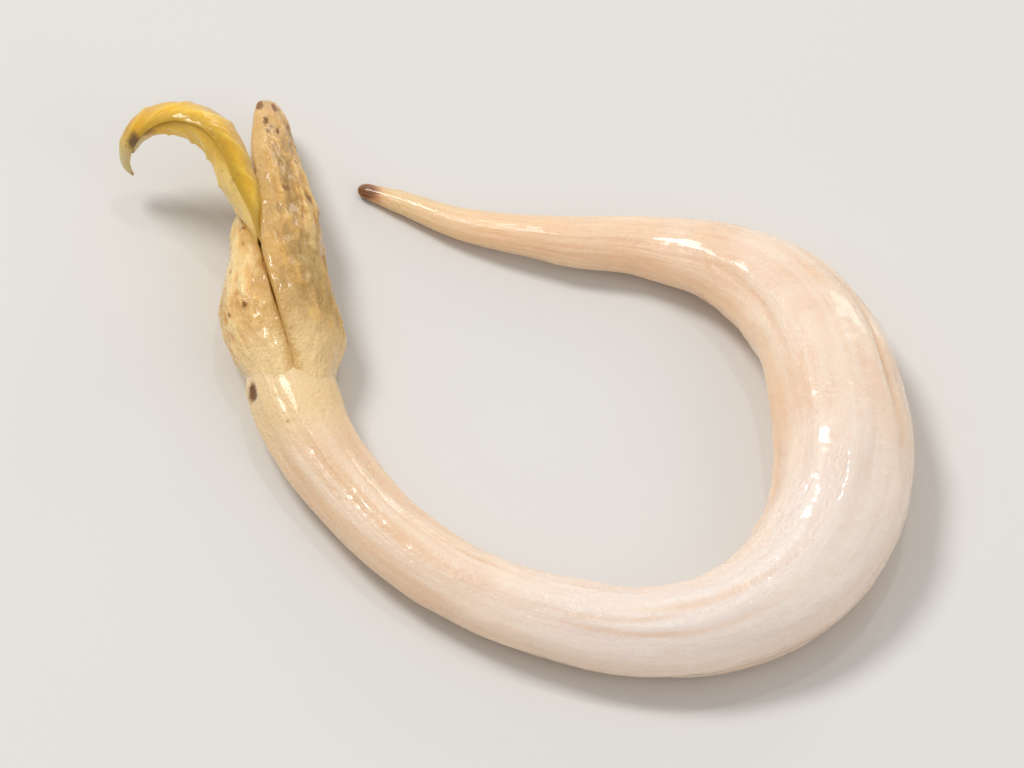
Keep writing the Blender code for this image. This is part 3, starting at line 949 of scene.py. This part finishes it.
def shapeLeaf(obj, leaf, lineLength):
    points = getPoints(obj)
    share = points[:, 0] / (lineLength * leaf["share"])
    middle = np.hypot(points[:, 1], points[:, 2]) < 1e-6
    angle = np.arctan2(points[:, 2], points[:, 1])
    side, back = np.cos(angle), np.sin(angle)  # side runs from edge to edge, and back is 1 outside
    start = leafForm["stalkShare"]
    blade = np.clip((share * leaf["share"] - start) / (leaf["share"] - start), 0, 1)
    opened = np.sin(math.pi * blade) ** leafForm["fullness"]
    least = leafForm["stalk"] * (1 - 0.6 * ease(blade, 0.8, 1.0))
    seed = leaf["seed"]
    wave = grain(share * leafForm["wavePitch"], np.sign(side) * 0.8, np.full(len(side), seed))
    width = least + (leaf["halfWidth"] - leafForm["stalk"]) * opened
    width *= 1 + leafForm["wave"] * wave * opened
    width *= 1 - leafForm["narrowing"] * ease(blade, leafForm["narrowFrom"], leafForm["narrowTo"])
    fold = leaf["fold"] * opened * (1 + 0.25 * grainAlong(share, 0.16, seed + 3))
    thick = least + (leafForm["thick"] - least) * ease(opened, 0.0, 0.4)

    # the blade's section is an arch from edge to edge, with the midrib on its crown
    bow, power = leafForm["bow"], leafForm["archPower"]
    archY = width * np.sin(bow * side) / math.sin(bow)
    archZ = fold * (1 - np.abs(side) ** power) + 0.012 * wave * opened * np.abs(side) ** 3
    slopeY = width * bow * np.cos(bow * side) / math.sin(bow)
    slopeZ = -fold * power * np.abs(side) ** (power - 1) * np.sign(side)
    run = np.maximum(np.hypot(slopeY, slopeZ), 1e-9)

    # slanting veins stand out on the back, with the skin between them slightly puffed
    phase = leafForm["veins"] * (blade - leafForm["veinSlant"] * np.abs(side) ** 1.2) + 0.2 * wave
    veinGap = np.abs(phase - np.round(phase))
    vein = hump(veinGap, 0, leafForm["veinWidth"]) * (1 - np.abs(side) ** 4)
    puff = np.sin(math.pi * np.clip(veinGap * 2, 0, 1)) * np.abs(side) * (1 - np.abs(side) ** 2)
    midrib = hump(side, 0, leafForm["midribWidth"])
    relief = leafForm["midribHeight"] * midrib + leafForm["veinHeight"] * vein
    relief += leafForm["puffHeight"] * puff
    relief += leafForm["grainHeight"] * grain(share * 60, side * 8, np.full(len(side), seed))
    relief *= opened
    offset = thick * back + relief * np.clip(back, 0, 1) ** 0.3
    y = archY - slopeZ / run * offset
    z = archZ + slopeY / run * offset
    # round stalks lie side by side, and the blades meet edge to edge
    rest = leafForm["gap"] + least * (1 - ease(opened, 0.0, 0.5))
    ends = roundedEnd((1 - share) / leafForm["tipLength"]) * roundedEnd(share / leafForm["buttLength"])
    y = np.where(middle, 0, y * ends)
    z = np.where(middle, 0, z * ends) + rest
    setPoints(obj, np.column_stack((points[:, 0], y, z * leaf["side"])) * mm)
    storeValue(obj, "along", blade)
    storeValue(obj, "edge", np.abs(side))
    storeValue(obj, "vein", np.clip(opened * vein, 0, 1))
    crown = hump(side, 0, leafForm["crownWidth"])
    storeValue(obj, "crown", opened * crown * np.clip(back, 0, 1))
    storeVector(obj, "skin", np.column_stack((points[:, 0], y, np.sign(back) * 0.4)))


def makeLeafFinish(name, leaf):
    material, board, shader, place = newFinish(name)
    tints, shares = leafForm["tints"], leafForm["shares"]
    along = board.attribute("along")
    edge = board.attribute("edge")
    shadedContact = board.attribute("shadedContact")
    skin = board.attribute("skin", "Vector")
    fibres = board.group(fibreGroup, Skin=skin, Stretch=0.3, Density=6.0)
    specks = board.group(freckleGroup, Place=place, Pitch=3.6, Amount=0.30)
    film = board.group(wetGroup, Place=place, Dry=0.42, Wet=0.22)
    cloud = board.noise(place, 1.2, 3.0, 0.6)

    blade = board.mix(board.span(cloud, 0.35, 0.65), leaf["deep"], leaf["blade"])
    pale = board.span(along, leaf["paleTo"] - 0.16, leaf["paleTo"], 1.0, 0.0)
    glow = board.span(shadedContact, 0.05, 0.70, 0.5, 0.05)
    # the brown spot in front of the pale tip
    uneven = board.math("MULTIPLY_ADD", cloud, 0.12, along)
    spot = board.span(uneven, 0.825, 0.865)
    spot = board.math("MULTIPLY", spot, board.span(uneven, 0.885, 0.92, 1.0, 0.0))
    spot = board.math("MULTIPLY", spot, board.span(edge, 0.35, 0.75, 0.15, leaf["browning"]))
    blade = board.layers(blade, (
        (fibres["Strands"], leaf["light"], shares["strands"]),
        (board.attribute("vein"), leaf["light"], shares["vein"]),
        (board.attribute("crown"), leaf["crown"], shares["crown"]),
        # darker margins: partly the leaves' own edge colour, partly painted shade between the folded blades
        (board.span(edge, 0.55, 0.95), leaf["edge"], shares["edge"]),
        (pale, leaf["stalk"], shares["stalk"]),
        # painted shade where the leaves lie against the seed halves
        (board.span(shadedContact, 0.15, 0.90), *tints["shadedContact"]),
        (board.span(along, 0.80, 0.92), leaf["tip"], shares["tip"]),
        (spot, *tints["spot"]),
        (board.span(along, 0.965, 1.0), *tints["brownTip"]),
        (specks["Specks"], *tints["specks"]),
    ))
    coat = board.math("MULTIPLY", film["Coat"], leafForm["coat"])
    makeTissue(board, shader, leafForm["tissue"], blade, coat, glow, film, fibres)
    return material


def makeLeaf(name):
    leaf = leaves[name]
    points = [Vector(row) for row in fromHead(np.array(leafLine))]
    guide = guideCurve(name + "_guide", points)
    runs = [(b - a).length for a, b in zip(points, points[1:])]
    for index, knot in enumerate(guide.data.splines[0].bezier_points):
        turned = float(ease(sum(runs[:index]) / sum(runs), *leafForm["turnBetween"]))
        knot.tilt = leafForm["turnFrom"] + (leafForm["turnTo"] - leafForm["turnFrom"]) * turned
    lineLength = sum(runs) / mm
    obj = tube(name + "_blade", lineLength * leaf["share"], leafForm["sides"], leafForm["cuts"])
    shapeLeaf(obj, leaf, lineLength)
    bendAlong(obj, guide)
    turnFacesOut(obj)
    obj.data.shade_smooth()
    obj.data.materials.append(makeLeafFinish(name + "_skin", leaf))
    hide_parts(name)
    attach(obj, "root")
    print(f"{name}: {len(obj.data.polygons)} faces")
    return obj


stem = makeStalk()
halves = [makeSeedHalf(name) for name in seedHalves]
blades = [makeLeaf(name) for name in leaves]

# where pieces meet, their colour changes: painted light at the stalk joint, painted shade along the seam
# and beside the leaves: reach in mm
meeting = {"stalk": 1.3, "halfOnStalk": 0.85, "seam": 0.30, "leaf": 0.30}
storeValue(stem, "litJoint", closeness(stem, halves, meeting["stalk"]))
for half in halves:
    others = [piece for piece in halves + blades if piece != half]
    storeValue(half, "litJoint", closeness(half, [stem], meeting["halfOnStalk"]))
    storeValue(half, "shadedContact", closeness(half, others, meeting["seam"]))
for blade in blades:
    storeValue(blade, "shadedContact", closeness(blade, halves, meeting["leaf"]))
print("marked where the pieces meet")


# floor, light and camera

studio = {
    "floorSize": 1.6,
    "floorColour": (0.730, 0.720, 0.700), "floorRoughness": 0.55,
    "world": (1.0, 0.99, 0.975), "worldStrength": 0.50, "reflectedStrength": 0.85,
    # name: place, size, power, colour
    "lights": {
        "key": ((-0.16, 0.14, 0.30), 0.12, 0.65, (1.0, 0.98, 0.95)),
        "fill": ((0.26, -0.18, 0.20), 0.24, 0.16, (1.0, 0.98, 0.96)),
        "rim": ((0.12, 0.28, 0.12), 0.10, 0.10, (1.0, 0.97, 0.92)),
        "sparkle": ((0.06, 0.16, 0.40), 0.02, 0.10, (1.0, 0.99, 0.97)),
    },
}
photoView = {
    "elevation": math.radians(56.0),
    "distance": 430.0,
    "frameWidth": 23.2,  # what the picture's width shows at the sprout
    "target": (0.0, 0.0, 1.0),
}


def makeFloor():
    deselectAll()
    bpy.ops.mesh.primitive_plane_add(size=studio["floorSize"], location=(0, 0, 0))
    floor = bpy.context.object
    floor.name = "floor"
    material = bpy.data.materials.new("paleFloor")
    material.use_nodes = True
    shader = material.node_tree.nodes["Principled BSDF"]
    shader.inputs["Base Color"].default_value = (*studio["floorColour"], 1)
    shader.inputs["Roughness"].default_value = studio["floorRoughness"]
    floor.data.materials.append(material)


def makeLights():
    world = bpy.data.worlds.new("studioWorld")
    world.use_nodes = True
    sky = world.node_tree.nodes["Background"]
    sky.inputs["Color"].default_value = (*studio["world"], 1)
    # wet surfaces mirror a brighter sky than the one that lights them, as under a white tent
    board = Board(world.node_tree)
    mirrored = world.node_tree.nodes.new("ShaderNodeLightPath").outputs["Is Glossy Ray"]
    strength = board.math("MULTIPLY_ADD", mirrored, studio["reflectedStrength"] - studio["worldStrength"],
                          studio["worldStrength"])
    board.link(strength, sky.inputs["Strength"])
    bpy.context.scene.world = world
    for name, (place, size, power, colour) in studio["lights"].items():
        data = bpy.data.lights.new(name, "AREA")
        data.shape = "DISK"
        data.size = size
        data.energy = power
        data.color = colour
        lamp = bpy.data.objects.new(name, data)
        lamp.location = place
        lamp.rotation_euler = (-Vector(place)).to_track_quat("-Z", "Y").to_euler()
        bpy.context.scene.collection.objects.link(lamp)


def makeCamera():
    data = bpy.data.cameras.new("photoCamera")
    data.sensor_width = 36.0
    data.lens = data.sensor_width * photoView["distance"] / photoView["frameWidth"]
    data.clip_start = 0.01
    data.clip_end = 10.0
    camera = bpy.data.objects.new("photoCamera", data)
    up = photoView["elevation"]
    away = Vector((0, -math.cos(up), math.sin(up))) * photoView["distance"]
    camera.location = (Vector(photoView["target"]) + away) * mm
    camera.rotation_euler = (math.pi / 2 - up, 0, 0)
    bpy.context.scene.collection.objects.link(camera)
    bpy.context.scene.camera = camera


makeFloor()
makeLights()
makeCamera()
bpy.context.scene.view_settings.view_transform = "Standard"
print("floor, lights and camera placed")
